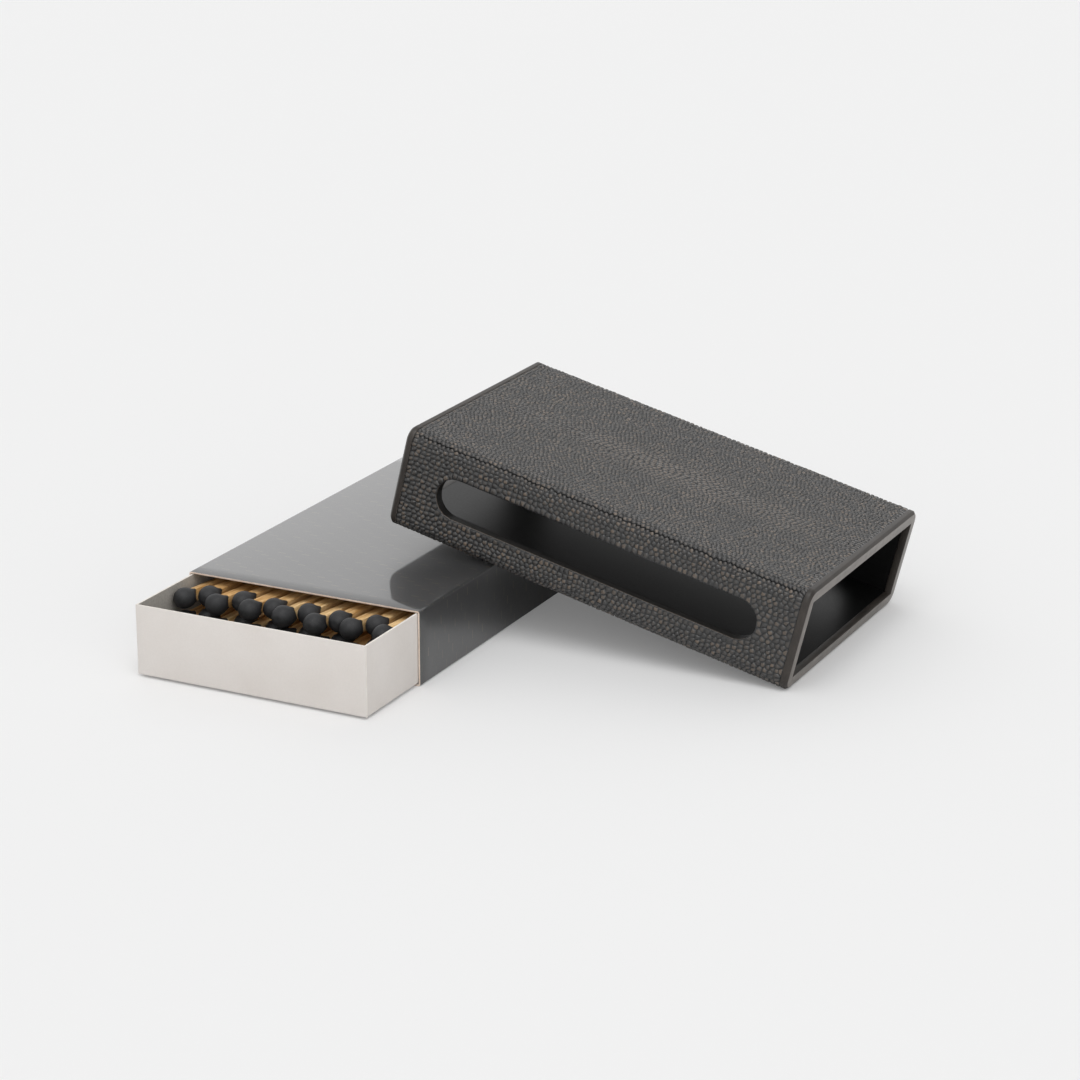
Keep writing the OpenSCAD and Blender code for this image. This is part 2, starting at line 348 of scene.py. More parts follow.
def mirrored(seeds):
    """Seeds on the far side of every edge of the skin, so that the beads end on that edge."""
    near = 3.2 * mm
    ghosts = []
    for axis, edge, sign in (
        (0, skin_low_x, 1),
        (0, skin_high_x, -1),
        (1, seam_gap / 2, 1),
        (1, girth - seam_gap / 2, -1),
    ):
        close = seeds[(seeds[:, axis] - edge) * sign < near].copy()
        close[:, axis] = 2 * edge - close[:, axis]
        ghosts.append(close)
    distance, away = slot_distance(seeds)
    close = distance < near
    ghosts.append(seeds[close] - 2 * distance[close, None] * away[close])
    return np.concatenate(ghosts)


def cells_of(seeds):
    """Corners of each bead's cell, in order round its seed: (corner places, seed of each, corner of each)."""
    everything = np.concatenate([seeds, mirrored(seeds)]) / mm
    found = delaunay_2d_cdt([Vector(p) for p in everything], [], [], 0, 1e-6)
    places = np.array([tuple(p) for p in found[0]])
    triangles = np.array(found[2])
    origin = np.array([o[0] for o in found[3]])
    a, b, c = (places[triangles[:, k]] for k in range(3))
    ab, ac = b - a, c - a
    cross = 2 * (ab[:, 0] * ac[:, 1] - ab[:, 1] * ac[:, 0])
    ab2, ac2 = (ab**2).sum(1), (ac**2).sum(1)
    centre = a + np.stack(
        [ac[:, 1] * ab2 - ab[:, 1] * ac2, ab[:, 0] * ac2 - ac[:, 0] * ab2], 1
    ) / cross[:, None]
    centre *= mm
    seed_of = origin[triangles]
    real = seed_of < len(seeds)
    # Corners shared with a seed beyond a slot's outline are pulled on to that outline
    distance, away = slot_distance(centre)
    on_edge = real.any(1) & ~real.all(1) & (np.abs(distance) < 0.8 * mm)
    centre[on_edge] -= distance[on_edge, None] * away[on_edge]
    corner = np.repeat(np.arange(len(triangles)), 3)
    seed = seed_of.ravel()
    keep = seed < len(seeds)
    corner, seed = corner[keep], seed[keep]
    arm = centre[corner] - seeds[seed]
    order = np.lexsort((np.arctan2(arm[:, 1], arm[:, 0]), seed))
    return centre, seed[order], corner[order]


def middles_of(seeds):
    centre, seed, corner = cells_of(seeds)
    start = np.searchsorted(seed, np.arange(len(seeds)))
    following = np.arange(1, len(seed) + 1)
    ends = np.append(start[1:], len(seed)) - 1
    following[ends] = start
    p, q = centre[corner], centre[corner[following]]
    cross = p[:, 0] * q[:, 1] - p[:, 1] * q[:, 0]
    area = np.add.reduceat(cross, start) / 2
    middle = np.add.reduceat((p + q) * cross[:, None], start, axis=0) / (6 * area[:, None])
    return middle


seeds = sow_beads()
seeds = seeds[slot_distance(seeds)[0] > 0.45 * mm]
seeds = seeds + 0.7 * (middles_of(seeds) - seeds)
centre, seed, corner = cells_of(seeds)
starts = np.searchsorted(seed, np.arange(len(seeds) + 1))
flat_skin = bmesh.new()
flat_corners = [flat_skin.verts.new((x, s, 0)) for x, s in centre]
for k in range(len(seeds)):
    flat_skin.faces.new([flat_corners[c] for c in corner[starts[k] : starts[k + 1]]])
loose = [v for v in flat_skin.verts if not v.link_faces]
bmesh.ops.delete(flat_skin, geom=loose, context="VERTS")
bmesh.ops.remove_doubles(flat_skin, verts=flat_skin.verts, dist=0.09 * mm)


def on_section(x, s, height):
    """A place on the holder: x along it, s round it, and height out of its outside."""
    y = np.zeros_like(s)
    z = np.zeros_like(s)
    ny = np.zeros_like(s)
    nz = np.zeros_like(s)
    flats = (
        (0, holder_width / 2, 0, -1, 0, 0, -1),
        (2, 0, edge_radius, 0, 1, -1, 0),
        (4, edge_radius, holder_height, 1, 0, 0, 1),
        (6, holder_width, holder_height - edge_radius, 0, -1, 1, 0),
        (8, holder_width - edge_radius, 0, -1, 0, 0, -1),
    )
    for k, y0, z0, dy, dz, normal_y, normal_z in flats:
        inside = (s >= stations[k]) & (s <= stations[k + 1])
        run = s - stations[k]
        y = np.where(inside, y0 + dy * run, y)
        z = np.where(inside, z0 + dz * run, z)
        ny = np.where(inside, normal_y, ny)
        nz = np.where(inside, normal_z, nz)
    low_y, high_y = edge_radius, holder_width - edge_radius
    low_z, high_z = edge_radius, holder_height - edge_radius
    rounds = ((1, low_y, low_z, -90), (3, low_y, high_z, 180), (5, high_y, high_z, 90), (7, high_y, low_z, 0))
    for k, y0, z0, first in rounds:
        inside = (s > stations[k]) & (s < stations[k + 1])
        turn = np.radians(first) - (s - stations[k]) / edge_radius
        y = np.where(inside, y0 + edge_radius * np.cos(turn), y)
        z = np.where(inside, z0 + edge_radius * np.sin(turn), z)
        ny = np.where(inside, np.cos(turn), ny)
        nz = np.where(inside, np.sin(turn), nz)
    return np.stack([x, y + ny * height, z + nz * height], 1)


def bead_panel(name, low_s, high_s):
    """The beads between two distances round the skin, closed underneath, as one mesh."""
    faces = [f for f in flat_skin.faces if low_s <= f.calc_center_median().y < high_s]
    used = sorted({v for f in faces for v in f.verts}, key=lambda v: v.index)
    number = {v: k for k, v in enumerate(used)}
    corners = np.array([v.co[:2] for v in used])
    cell = np.array([number[v] for f in faces for v in f.verts])
    count = np.array([len(f.verts) for f in faces])
    first = np.concatenate([[0], np.cumsum(count)[:-1]])
    owner = np.repeat(np.arange(len(faces)), count)
    following = np.arange(1, len(cell) + 1)
    following[first + count - 1] = first
    middle = np.add.reduceat(corners[cell], first, axis=0) / count[:, None]
    arm = corners[cell] - middle[owner]
    size = np.linalg.norm(arm, axis=1)
    mean_size = np.add.reduceat(size, first) / count
    round_arm = arm * (mean_size[owner] / size)[:, None]
    lift = rng.normal(0, 0.035, len(faces)) * mm + 0.05 * (mean_size - 0.65 * mm)
    rings = []
    for share, roundness, depth in bead_rings:
        ring = middle[owner] + share * (arm * (1 - roundness) + round_arm * roundness)
        rings.append(on_section(ring[:, 0], ring[:, 1], lift[owner] - depth * mm))
    edge_of_skin = np.array([any(len(e.link_faces) < 2 for e in v.link_edges) for v in used])
    groove_here = np.where(edge_of_skin, 0.2, groove_depth) * mm
    groove = on_section(corners[:, 0], corners[:, 1], -groove_here)
    under = on_section(corners[:, 0], corners[:, 1], np.full(len(corners), -skin_thickness))
    tops = on_section(middle[:, 0], middle[:, 1], lift + 0.02 * mm)
    shoulder_at = len(corners)
    top_at = shoulder_at + len(cell)
    middle_at = top_at + len(cell)
    under_at = middle_at + len(faces)
    here = np.arange(len(cell))
    quads = np.concatenate(
        [
            np.stack([cell, cell[following], shoulder_at + following, shoulder_at + here], 1),
            np.stack([shoulder_at + here, shoulder_at + following, top_at + following, top_at + here], 1),
        ]
    )
    caps = np.stack([top_at + here, top_at + following, middle_at + owner], 1)
    edges = {}
    for a, b in zip(cell, cell[following]):
        edges[(a, b)] = True
    rim = [(a, b) for a, b in edges if (b, a) not in edges]
    walls = [(b, a, under_at + a, under_at + b) for a, b in rim]
    below = [
        tuple(under_at + cell[first[k] : first[k] + count[k]][::-1]) for k in range(len(faces))
    ]
    mesh = bpy.data.meshes.new(name)
    mesh.from_pydata(
        np.concatenate([groove, *rings, tops, under]).tolist(),
        [],
        [tuple(q) for q in quads.tolist()] + [tuple(c) for c in caps.tolist()] + walls + below,
    )
    tone = rng.beta(2.2, 2.0, len(faces))
    from_middle = np.abs(middle[:, 1] - lid_middle)
    pearl = np.exp(-((from_middle / (7 * mm)) ** 2)) * np.exp(-(((middle[:, 0] + 52 * mm) / (38 * mm)) ** 2))
    bead = np.zeros((len(mesh.vertices), 4), np.float32)
    bead[:, 3] = 1
    bead[shoulder_at:top_at, 0] = 0.45
    bead[top_at:under_at, 0] = 1
    for at, belongs in ((shoulder_at, owner), (top_at, owner), (middle_at, np.arange(len(faces)))):
        bead[at : at + len(belongs), 1] = tone[belongs]
        bead[at : at + len(belongs), 2] = pearl[belongs]
    mesh.attributes.new("bead", "FLOAT_COLOR", "POINT").data.foreach_set("color", bead.ravel())
    # Its flat pattern, so that the finish can be laid out on it without cuts
    plan = mesh.uv_layers.new(name="OFBake")
    vertex_plan = np.zeros((len(mesh.vertices), 2))
    vertex_plan[:shoulder_at] = corners
    for at, (share, roundness, _) in zip((shoulder_at, top_at), bead_rings):
        vertex_plan[at : at + len(cell)] = middle[owner] + share * (
            arm * (1 - roundness) + round_arm * roundness
        )
    vertex_plan[middle_at:under_at] = middle
    vertex_plan[under_at:] = corners
    low, high = vertex_plan.min(0), vertex_plan.max(0)
    vertex_plan = 0.005 + 0.99 * (vertex_plan - low) / (high - low)
    vertex_plan[:under_at, 1] *= 0.95
    vertex_plan[under_at:, 1] = 0.96 + 0.035 * vertex_plan[under_at:, 1]
    loops = np.zeros(len(mesh.loops), np.int32)
    mesh.loops.foreach_get("vertex_index", loops)
    plan.data.foreach_set("uv", vertex_plan[loops].astype(np.float32).ravel())
    mesh.transform(holder_pose)
    mesh.polygons.foreach_set("use_smooth", np.ones(len(mesh.polygons), bool))
    smooth = np.ones(len(mesh.polygons), bool)
    smooth[len(quads) + len(caps) :] = False
    mesh.polygons.foreach_set("use_smooth", smooth)
    cut = np.zeros(len(mesh.polygons), np.int32)
    cut[len(quads) + len(caps) : len(quads) + len(caps) + len(walls)] = 1
    panel = bpy.data.objects.new(name, mesh)
    bpy.context.scene.collection.objects.link(panel)
    mesh.materials.append(shagreen)
    mesh.materials.append(cut_skin)
    mesh.polygons.foreach_set("material_index", cut)
    mesh.update()
    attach(panel, "holder")
    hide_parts("shagreen_wrap")
    return panel


shagreen, tree, shader, place = new_finish(
    "polished_shagreen", Coat_Weight=0.8, Coat_Roughness=0.12, Specular_IOR_Level=0.5
)
bead = node(tree, "Attribute", attribute_name="bead")
parts = node(tree, "SeparateColor", {"Color": bead.outputs["Color"]}).outputs
noise = place_group(tree, mottle, {"Place": place, "Fine": 5200.0, "Broad": 95.0})
top_tone = ramp(
    tree,
    parts[1],
    (0.15, (0.022, 0.021, 0.021)),
    (0.60, (0.060, 0.051, 0.043)),
    (0.95, (0.145, 0.108, 0.078)),
)
pearl_tone = blend_colours(tree, spread(tree, parts[2], 0.0, 0.75), top_tone, (0.125, 0.096, 0.074))
drift = blend_colours(tree, 0.5, pearl_tone, ramp(tree, noise["Broad"], (0.35, (0.55, 0.55, 0.56)), (0.65, (1.25, 1.22, 1.18))), "MULTIPLY")
rubbed = node(
    tree,
    "MapRange",
    {"Value": parts[0], "From Min": 0.55, "From Max": 0.92},
    interpolation_type="SMOOTHSTEP",
).outputs["Result"]
rubbed = sum_of(tree, "MULTIPLY", rubbed, spread(tree, noise["Fine"], 0.65, 1.2))
side_tone = ramp(tree, parts[0], (0.0, (0.003, 0.003, 0.0033)), (0.45, (0.011, 0.0112, 0.012)))
tree.links.new(blend_colours(tree, rubbed, side_tone, drift), shader.inputs["Base Color"])
tree.links.new(spread(tree, parts[0], 0.30, 0.52), shader.inputs["Roughness"])
add_bump(tree, shader, noise["Fine"], 0.02 * mm, 0.6)

cut_skin, tree, shader, place = new_finish("cut_skin", Specular_IOR_Level=0.4)
noise = place_group(tree, mottle, {"Place": place, "Fine": 3000.0, "Broad": 300.0})
tree.links.new(
    ramp(tree, noise["Fine"], (0.3, (0.05, 0.042, 0.036)), (0.7, (0.17, 0.14, 0.115))),
    shader.inputs["Base Color"],
)
tree.links.new(spread(tree, noise["Fine"], 0.45, 0.7), shader.inputs["Roughness"])
add_bump(tree, shader, noise["Fine"], 0.03 * mm)

panels = (
    ("shagreen_under_near", 0, stations[1] + quarter / 2),
    ("shagreen_near_side", stations[1] + quarter / 2, stations[3] + quarter / 2),
    ("shagreen_lid_near", stations[3] + quarter / 2, lid_middle),
    ("shagreen_lid_far", lid_middle, stations[5] + quarter / 2),
    ("shagreen_far_side", stations[5] + quarter / 2, stations[7] + quarter / 2),
    ("shagreen_under_far", stations[7] + quarter / 2, girth),
)
for name, low_s, high_s in panels:
    bead_panel(name, low_s, high_s)
flat_skin.free()


# Linings: four slips of thin card faced with black satin paper, glued inside the boards. Fine
# lines run along them.
satin_black, tree, shader, place = new_finish("satin_black_paper", Specular_IOR_Level=0.3)
lines = place_group(tree, along_holder, {"Place": place})
noise = place_group(tree, mottle, {"Place": lines["Place"], "Fine": 1500.0, "Broad": 60.0})
tree.links.new(
    ramp(tree, lines["Streaks"], (0.35, (0.0025, 0.0025, 0.0026)), (0.65, (0.0055, 0.0054, 0.0053))),
    shader.inputs["Base Color"],
)
tree.links.new(spread(tree, noise["Fine"], 0.28, 0.42), shader.inputs["Roughness"])
add_bump(tree, shader, lines["Streaks"], 0.012 * mm, 0.5)
for slip in ("holder_top_lining", "holder_bottom_lining", "holder_front_lining", "holder_rear_lining"):
    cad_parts[slip].data.materials.clear()
    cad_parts[slip].data.materials.append(satin_black)


# End bands: a bevelled frame of hard-pressed dyed leather closes each end of the boards, skin
# and lining. It is dyed dark outside and rubbed paler on its flat end.
mouth_width = 67.8 * mm
mouth_height = 20.8 * mm
band_length = 1.9 * mm
band_bevel = 0.7 * mm


def select_where(kind, test):
    """Selects only the faces or edges of the piece in hand for which the test holds."""
    bpy.ops.mesh.select_all(action="DESELECT")
    bpy.ops.mesh.select_mode(type=kind)
    shape = bmesh.from_edit_mesh(bpy.context.object.data)
    shape.normal_update()
    for item in shape.faces if kind == "FACE" else shape.edges:
        item.select_set(bool(test(item)))
    shape.select_flush_mode()
    bmesh.update_edit_mesh(bpy.context.object.data)


def new_block(name, low, high):
    """A plain block between two corners, in edit mode, ready to be shaped."""
    bpy.ops.object.select_all(action="DESELECT")
    low, high = Vector(low), Vector(high)
    bpy.ops.mesh.primitive_cube_add(size=1, location=(low + high) / 2, scale=high - low)
    block = bpy.context.object
    block.name = name
    block.data.name = name
    bpy.ops.object.transform_apply(location=True, rotation=True, scale=True)
    bpy.ops.object.mode_set(mode="EDIT")
    return block


def use_modifier(piece, kind, **settings):
    bpy.ops.object.select_all(action="DESELECT")
    piece.select_set(True)
    bpy.context.view_layer.objects.active = piece
    modifier = piece.modifiers.new(kind.lower(), kind)
    for name, value in settings.items():
        setattr(modifier, name, value)
    bpy.ops.object.modifier_apply(modifier=modifier.name)


def smooth(piece, degrees=35):
    bpy.ops.object.select_all(action="DESELECT")
    piece.select_set(True)
    bpy.context.view_layer.objects.active = piece
    bpy.ops.object.shade_smooth_by_angle(angle=math.radians(degrees))


band_leather, tree, shader, place = new_finish(
    "burnished_edge_leather", Specular_IOR_Level=0.5
)
noise = place_group(tree, mottle, {"Place": place, "Fine": 1400.0, "Broad": 130.0})
leather = ramp(tree, noise["Broad"], (0.3, (0.026, 0.0215, 0.018)), (0.7, (0.045, 0.037, 0.031)))
fibres = ramp(tree, noise["Fine"], (0.3, (0.75, 0.75, 0.76)), (0.7, (1.2, 1.18, 1.15)))
tree.links.new(blend_colours(tree, 0.6, leather, fibres, "MULTIPLY"), shader.inputs["Base Color"])
tree.links.new(spread(tree, noise["Fine"], 0.34, 0.52), shader.inputs["Roughness"])
add_bump(tree, shader, noise["Fine"], 0.012 * mm, 0.7)

rubbed_leather, tree, shader, place = new_finish(
    "rubbed_edge_leather", Coat_Weight=0.25, Coat_Roughness=0.3
)
noise = place_group(tree, mottle, {"Place": place, "Fine": 1400.0, "Broad": 400.0})
tree.links.new(
    ramp(tree, noise["Broad"], (0.3, (0.135, 0.118, 0.104)), (0.7, (0.205, 0.182, 0.163))),
    shader.inputs["Base Color"],
)
tree.links.new(spread(tree, noise["Fine"], 0.3, 0.5), shader.inputs["Roughness"])
add_bump(tree, shader, noise["Fine"], 0.012 * mm, 0.7)


def end_band(name, node_name, face_x, outward):
    back_x = face_x - outward * band_length
    band = new_block(name, (min(face_x, back_x), 0, 0), (max(face_x, back_x), holder_width, holder_height))
    select_where("EDGE", lambda e: abs(e.verts[0].co.x - e.verts[1].co.x) > mm)
    bpy.ops.mesh.bevel(offset=edge_radius, segments=12, affect="EDGES")
    bpy.ops.object.mode_set(mode="OBJECT")
    wall = (holder_width - mouth_width) / 2
    cutter = new_block(
        "mouth_cutter",
        (min(face_x, back_x) - mm, wall, wall),
        (max(face_x, back_x) + mm, wall + mouth_width, wall + mouth_height),
    )
    bpy.ops.object.mode_set(mode="OBJECT")
    use_modifier(band, "BOOLEAN", object=cutter, operation="DIFFERENCE", solver="EXACT")
    bpy.data.objects.remove(cutter)
    bpy.ops.object.mode_set(mode="EDIT")

    def outer_rim(edge):
        middle = (edge.verts[0].co + edge.verts[1].co) / 2
        flat = all(abs(v.co.x - face_x) < 0.01 * mm for v in edge.verts)
        inside = (
            wall - 0.1 * mm < middle.y < wall + mouth_width + 0.1 * mm
            and wall - 0.1 * mm < middle.z < wall + mouth_height + 0.1 * mm
        )
        return flat and not inside and any(abs(f.normal.x) < 0.5 for f in edge.link_faces)

    select_where("EDGE", outer_rim)
    bpy.ops.mesh.bevel(offset=band_bevel, segments=1, affect="EDGES")
    bpy.ops.object.mode_set(mode="OBJECT")
    band.data.materials.append(band_leather)
    band.data.materials.append(rubbed_leather)
    use_modifier(
        band, "BEVEL", width=0.13 * mm, segments=3, limit_method="ANGLE", angle_limit=math.radians(30)
    )
    for face in band.data.polygons:
        face.material_index = int(abs(face.normal.x) > 0.9)
    smooth(band)
    band.data.transform(holder_pose)
    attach(band, "holder")
    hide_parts(node_name)


end_band("right_band", "right_end_band", holder_end, 1)
end_band("left_band", "left_end_band", holder_end - holder_length, -1)


# Matchbox cover: a sleeve folded from one piece of glossy printed card, dark outside and plain
# inside, with its pale cut edges showing at both ends. The print is a field of short gold dashes.
cover_low = Vector((-77.0625, -42.7, 0)) * mm
cover_high = Vector((-10.6625, 67.3, 19.6)) * mm
cover_card = 0.45 * mm
cover_fold = 0.6 * mm


def lay_out(piece, along):
    """Unfolds a card piece on to a map in metres: along the box, and across whichever panel."""
    layout = piece.data.uv_layers.new(name="sheet")
    for face in piece.data.polygons:
        sideways = abs(face.normal.x) > abs(face.normal.z)
        for loop in face.loop_indices:
            co = piece.data.vertices[piece.data.loops[loop].vertex_index].co
            across = co.z if sideways else co.x
            layout.data[loop].uv = (across, co[along])


cover = new_block("folded_cover", cover_low, cover_high)
select_where("FACE", lambda f: abs(f.normal.y) > 0.9)
bpy.ops.mesh.delete(type="ONLY_FACE")
select_where("EDGE", lambda e: abs(e.verts[0].co.y - e.verts[1].co.y) > mm)
bpy.ops.mesh.bevel(offset=cover_fold, segments=6, affect="EDGES")
select_where("EDGE", lambda e: abs(e.verts[0].co.y - e.verts[1].co.y) > mm)
bpy.ops.mesh.subdivide(number_cuts=21)
bpy.ops.object.mode_set(mode="OBJECT")

printed_card, tree, shader, place = new_finish(
    "glossy_printed_card", Coat_Weight=1.0, Coat_Roughness=0.07, Coat_IOR=1.6, Specular_IOR_Level=0.5
)
layout = node(tree, "UVMap", uv_map="sheet").outputs["UV"]
noise = place_group(tree, mottle, {"Place": place, "Fine": 2500.0, "Broad": 38.0})
axes = node(tree, "SeparateXYZ", {"Vector": layout}).outputs
dash_pitch = (3.1 * mm, 5.3 * mm)
row = sum_of(tree, "DIVIDE", axes["X"], dash_pitch[0])
row_number = sum_of(tree, "FLOOR", row, 0.0)
shift = sum_of(tree, "MULTIPLY", row_number, 0.37)
along_row = sum_of(tree, "ADD", sum_of(tree, "DIVIDE", axes["Y"], dash_pitch[1]), shift)
across_dash = sum_of(tree, "ABSOLUTE", sum_of(tree, "SUBTRACT", sum_of(tree, "FRACT", row, 0.0), 0.5), 0.0)
along_dash = sum_of(tree, "ABSOLUTE", sum_of(tree, "SUBTRACT", sum_of(tree, "FRACT", along_row, 0.0), 0.5), 0.0)
in_length = sum_of(tree, "LESS_THAN", across_dash, 0.36)
in_width = sum_of(tree, "LESS_THAN", along_dash, 0.02)
dash = sum_of(tree, "MULTIPLY", in_length, in_width)
dash_cell = node(
    tree,
    "CombineXYZ",
    {"X": row_number, "Y": sum_of(tree, "FLOOR", along_row, 0.0)},
).outputs["Vector"]
patchy = node(tree, "TexWhiteNoise", {"Vector": dash_cell}, noise_dimensions="3D").outputs["Value"]
dash = sum_of(tree, "MULTIPLY", dash, spread(tree, patchy, 0.03, 0.25))
ink = ramp(tree, noise["Broad"], (0.3, (0.043, 0.0435, 0.045)), (0.7, (0.055, 0.055, 0.056)))
tree.links.new(blend_colours(tree, dash, ink, (0.42, 0.31, 0.18)), shader.inputs["Base Color"])
tree.links.new(spread(tree, noise["Fine"], 0.3, 0.45), shader.inputs["Roughness"])
add_bump(tree, shader, noise["Broad"], 0.12 * mm, 0.35)

plain_card, tree, shader, place = new_finish("plain_card_inside", Specular_IOR_Level=0.3)
noise = place_group(tree, mottle, {"Place": place, "Fine": 2200.0, "Broad": 90.0})
pulp = ramp(tree, noise["Broad"], (0.3, (0.50, 0.47, 0.43)), (0.7, (0.58, 0.55, 0.51)))
specks = ramp(tree, noise["Fine"], (0.3, (0.9, 0.89, 0.88)), (0.7, (1.05, 1.05, 1.05)))
tree.links.new(blend_colours(tree, 0.8, pulp, specks, "MULTIPLY"), shader.inputs["Base Color"])
tree.links.new(spread(tree, noise["Fine"], 0.75, 0.9), shader.inputs["Roughness"])
add_bump(tree, shader, noise["Fine"], 0.02 * mm, 0.6)

cut_card, tree, shader, place = new_finish("cut_card_edge", Specular_IOR_Level=0.3)
noise = place_group(tree, mottle, {"Place": place, "Fine": 5000.0, "Broad": 500.0})
tree.links.new(
    ramp(tree, noise["Broad"], (0.3, (0.70, 0.56, 0.46)), (0.7, (0.84, 0.72, 0.62))),
    shader.inputs["Base Color"],
)
tree.links.new(spread(tree, noise["Fine"], 0.8, 0.95), shader.inputs["Roughness"])
add_bump(tree, shader, noise["Fine"], 0.03 * mm)

for finish in (printed_card, plain_card, cut_card):
    cover.data.materials.append(finish)
use_modifier(
    cover,
    "SOLIDIFY",
    thickness=cover_card,
    offset=-1,
    use_even_offset=True,
    material_offset=1,
    material_offset_rim=2,
)
use_modifier(
    cover, "BEVEL", width=0.07 * mm, segments=2, limit_method="ANGLE", angle_limit=math.radians(50)
)
lay_out(cover, 1)
smooth(cover, 40)
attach(cover, "cover")
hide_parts("cover_sleeve")


# Striker: a strip of dark brown grit rolled on to one long side of the cover.
grit, tree, shader, place = new_finish("striker_grit", Specular_IOR_Level=0.4)
noise = place_group(tree, mottle, {"Place": place, "Fine": 3200.0, "Broad": 120.0})
grains = node(tree, "TexVoronoi", {"Vector": place, "Scale": 2400.0}).outputs
brown = ramp(tree, noise["Broad"], (0.3, (0.060, 0.034, 0.026)), (0.7, (0.105, 0.062, 0.048)))
tree.links.new(
    blend_colours(
        tree, 0.7, brown, ramp(tree, grains["Distance"], (0.1, (1.4, 1.35, 1.3)), (0.7, (0.5, 0.5, 0.5))), "MULTIPLY"
    ),
    shader.inputs["Base Color"],
)
tree.links.new(spread(tree, noise["Fine"], 0.7, 0.95), shader.inputs["Roughness"])
add_bump(tree, shader, grains["Distance"], 0.06 * mm)
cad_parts["striker_strip"].data.materials.clear()
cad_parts["striker_strip"].data.materials.append(grit)


# Drawer: folded from one piece of off-white card. The floor and the long sides are one trough,
# and each end panel is folded up over two glue flaps, so that its cut edges show at the corners.
drawer_low = Vector((-76.4125, -68.0, 0.65)) * mm
drawer_high = Vector((-11.3125, 41.4, 18.95)) * mm
drawer_card = 0.5 * mm
drawer_fold = 0.5 * mm

white_card, tree, shader, place = new_finish("off_white_card", Specular_IOR_Level=0.35)
noise = place_group(tree, mottle, {"Place": place, "Fine": 1900.0, "Broad": 70.0})
face_tone = ramp(tree, noise["Broad"], (0.3, (0.735, 0.690, 0.650)), (0.7, (0.775, 0.735, 0.700)))
specks = ramp(tree, noise["Fine"], (0.3, (0.965, 0.965, 0.965)), (0.7, (1.0, 1.0, 1.0)))
tree.links.new(blend_colours(tree, 0.8, face_tone, specks, "MULTIPLY"), shader.inputs["Base Color"])
tree.links.new(spread(tree, noise["Fine"], 0.55, 0.72), shader.inputs["Roughness"])
add_bump(tree, shader, noise["Broad"], 0.25 * mm, 0.5)

grey_card, tree, shader, place = new_finish("grey_card_inside", Specular_IOR_Level=0.3)
noise = place_group(tree, mottle, {"Place": place, "Fine": 1900.0, "Broad": 110.0})
tree.links.new(
    ramp(tree, noise["Fine"], (0.3, (0.33, 0.31, 0.28)), (0.7, (0.42, 0.395, 0.36))),
    shader.inputs["Base Color"],
)
tree.links.new(spread(tree, noise["Fine"], 0.8, 0.95), shader.inputs["Roughness"])
add_bump(tree, shader, noise["Fine"], 0.03 * mm)

bright_cut, tree, shader, place = new_finish("bright_card_edge", Specular_IOR_Level=0.3)
noise = place_group(tree, mottle, {"Place": place, "Fine": 5000.0, "Broad": 400.0})
tree.links.new(
    ramp(tree, noise["Broad"], (0.3, (0.80, 0.75, 0.69)), (0.7, (0.88, 0.85, 0.80))),
    shader.inputs["Base Color"],
)
tree.links.new(spread(tree, noise["Fine"], 0.8, 0.95), shader.inputs["Roughness"])
add_bump(tree, shader, noise["Fine"], 0.02 * mm)
drawer_finishes = (white_card, grey_card, bright_cut)


def finish_drawer_piece(piece):
    smooth(piece, 40)
    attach(piece, "drawer")
    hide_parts("drawer_tray")


trough = new_block(
    "drawer_trough",
    drawer_low + Vector((0, drawer_card, 0)),
    drawer_high - Vector((0, drawer_card, 0)),
)
select_where("FACE", lambda f: abs(f.normal.y) > 0.9 or f.normal.z > 0.9)
bpy.ops.mesh.delete(type="ONLY_FACE")
select_where(
    "EDGE",
    lambda e: abs(e.verts[0].co.y - e.verts[1].co.y) > mm and max(v.co.z for v in e.verts) < 5 * mm,
)
bpy.ops.mesh.bevel(offset=drawer_fold, segments=4, affect="EDGES")
bpy.ops.object.mode_set(mode="OBJECT")
for finish in drawer_finishes:
    trough.data.materials.append(finish)
use_modifier(
    trough,
    "SOLIDIFY",
    thickness=drawer_card,
    offset=-1,
    use_even_offset=True,
    material_offset=1,
    material_offset_rim=2,
)
use_modifier(trough, "BEVEL", width=0.08 * mm, segments=2, limit_method="ANGLE", angle_limit=math.radians(50))
finish_drawer_piece(trough)


def end_panel(name, outside_y, outward):
    back_y = outside_y - outward * drawer_card
    panel = new_block(
        name,
        (drawer_low.x, min(outside_y, back_y), drawer_low.z),
        (drawer_high.x, max(outside_y, back_y), drawer_high.z),
    )
    select_where(
        "EDGE",
        lambda e: all(abs(v.co.y - outside_y) < 0.01 * mm and v.co.z < 5 * mm for v in e.verts),
    )
    bpy.ops.mesh.bevel(offset=0.35 * mm, segments=4, affect="EDGES")
    select_where("EDGE", lambda e: abs(e.verts[0].co.x - e.verts[1].co.x) > 5 * mm)
    bpy.ops.mesh.subdivide(number_cuts=24)
    bpy.ops.object.mode_set(mode="OBJECT")
    for finish in drawer_finishes:
        panel.data.materials.append(finish)
    for face in panel.data.polygons:
        if abs(face.normal.x) > 0.9 or face.normal.z > 0.9:
            face.material_index = 2
        elif face.normal.y * outward < -0.9:
            face.material_index = 1
    use_modifier(panel, "BEVEL", width=0.07 * mm, segments=2, limit_method="ANGLE", angle_limit=math.radians(50))
    finish_drawer_piece(panel)


end_panel("drawer_front_panel", drawer_low.y, -1)
end_panel("drawer_rear_panel", drawer_high.y, 1)

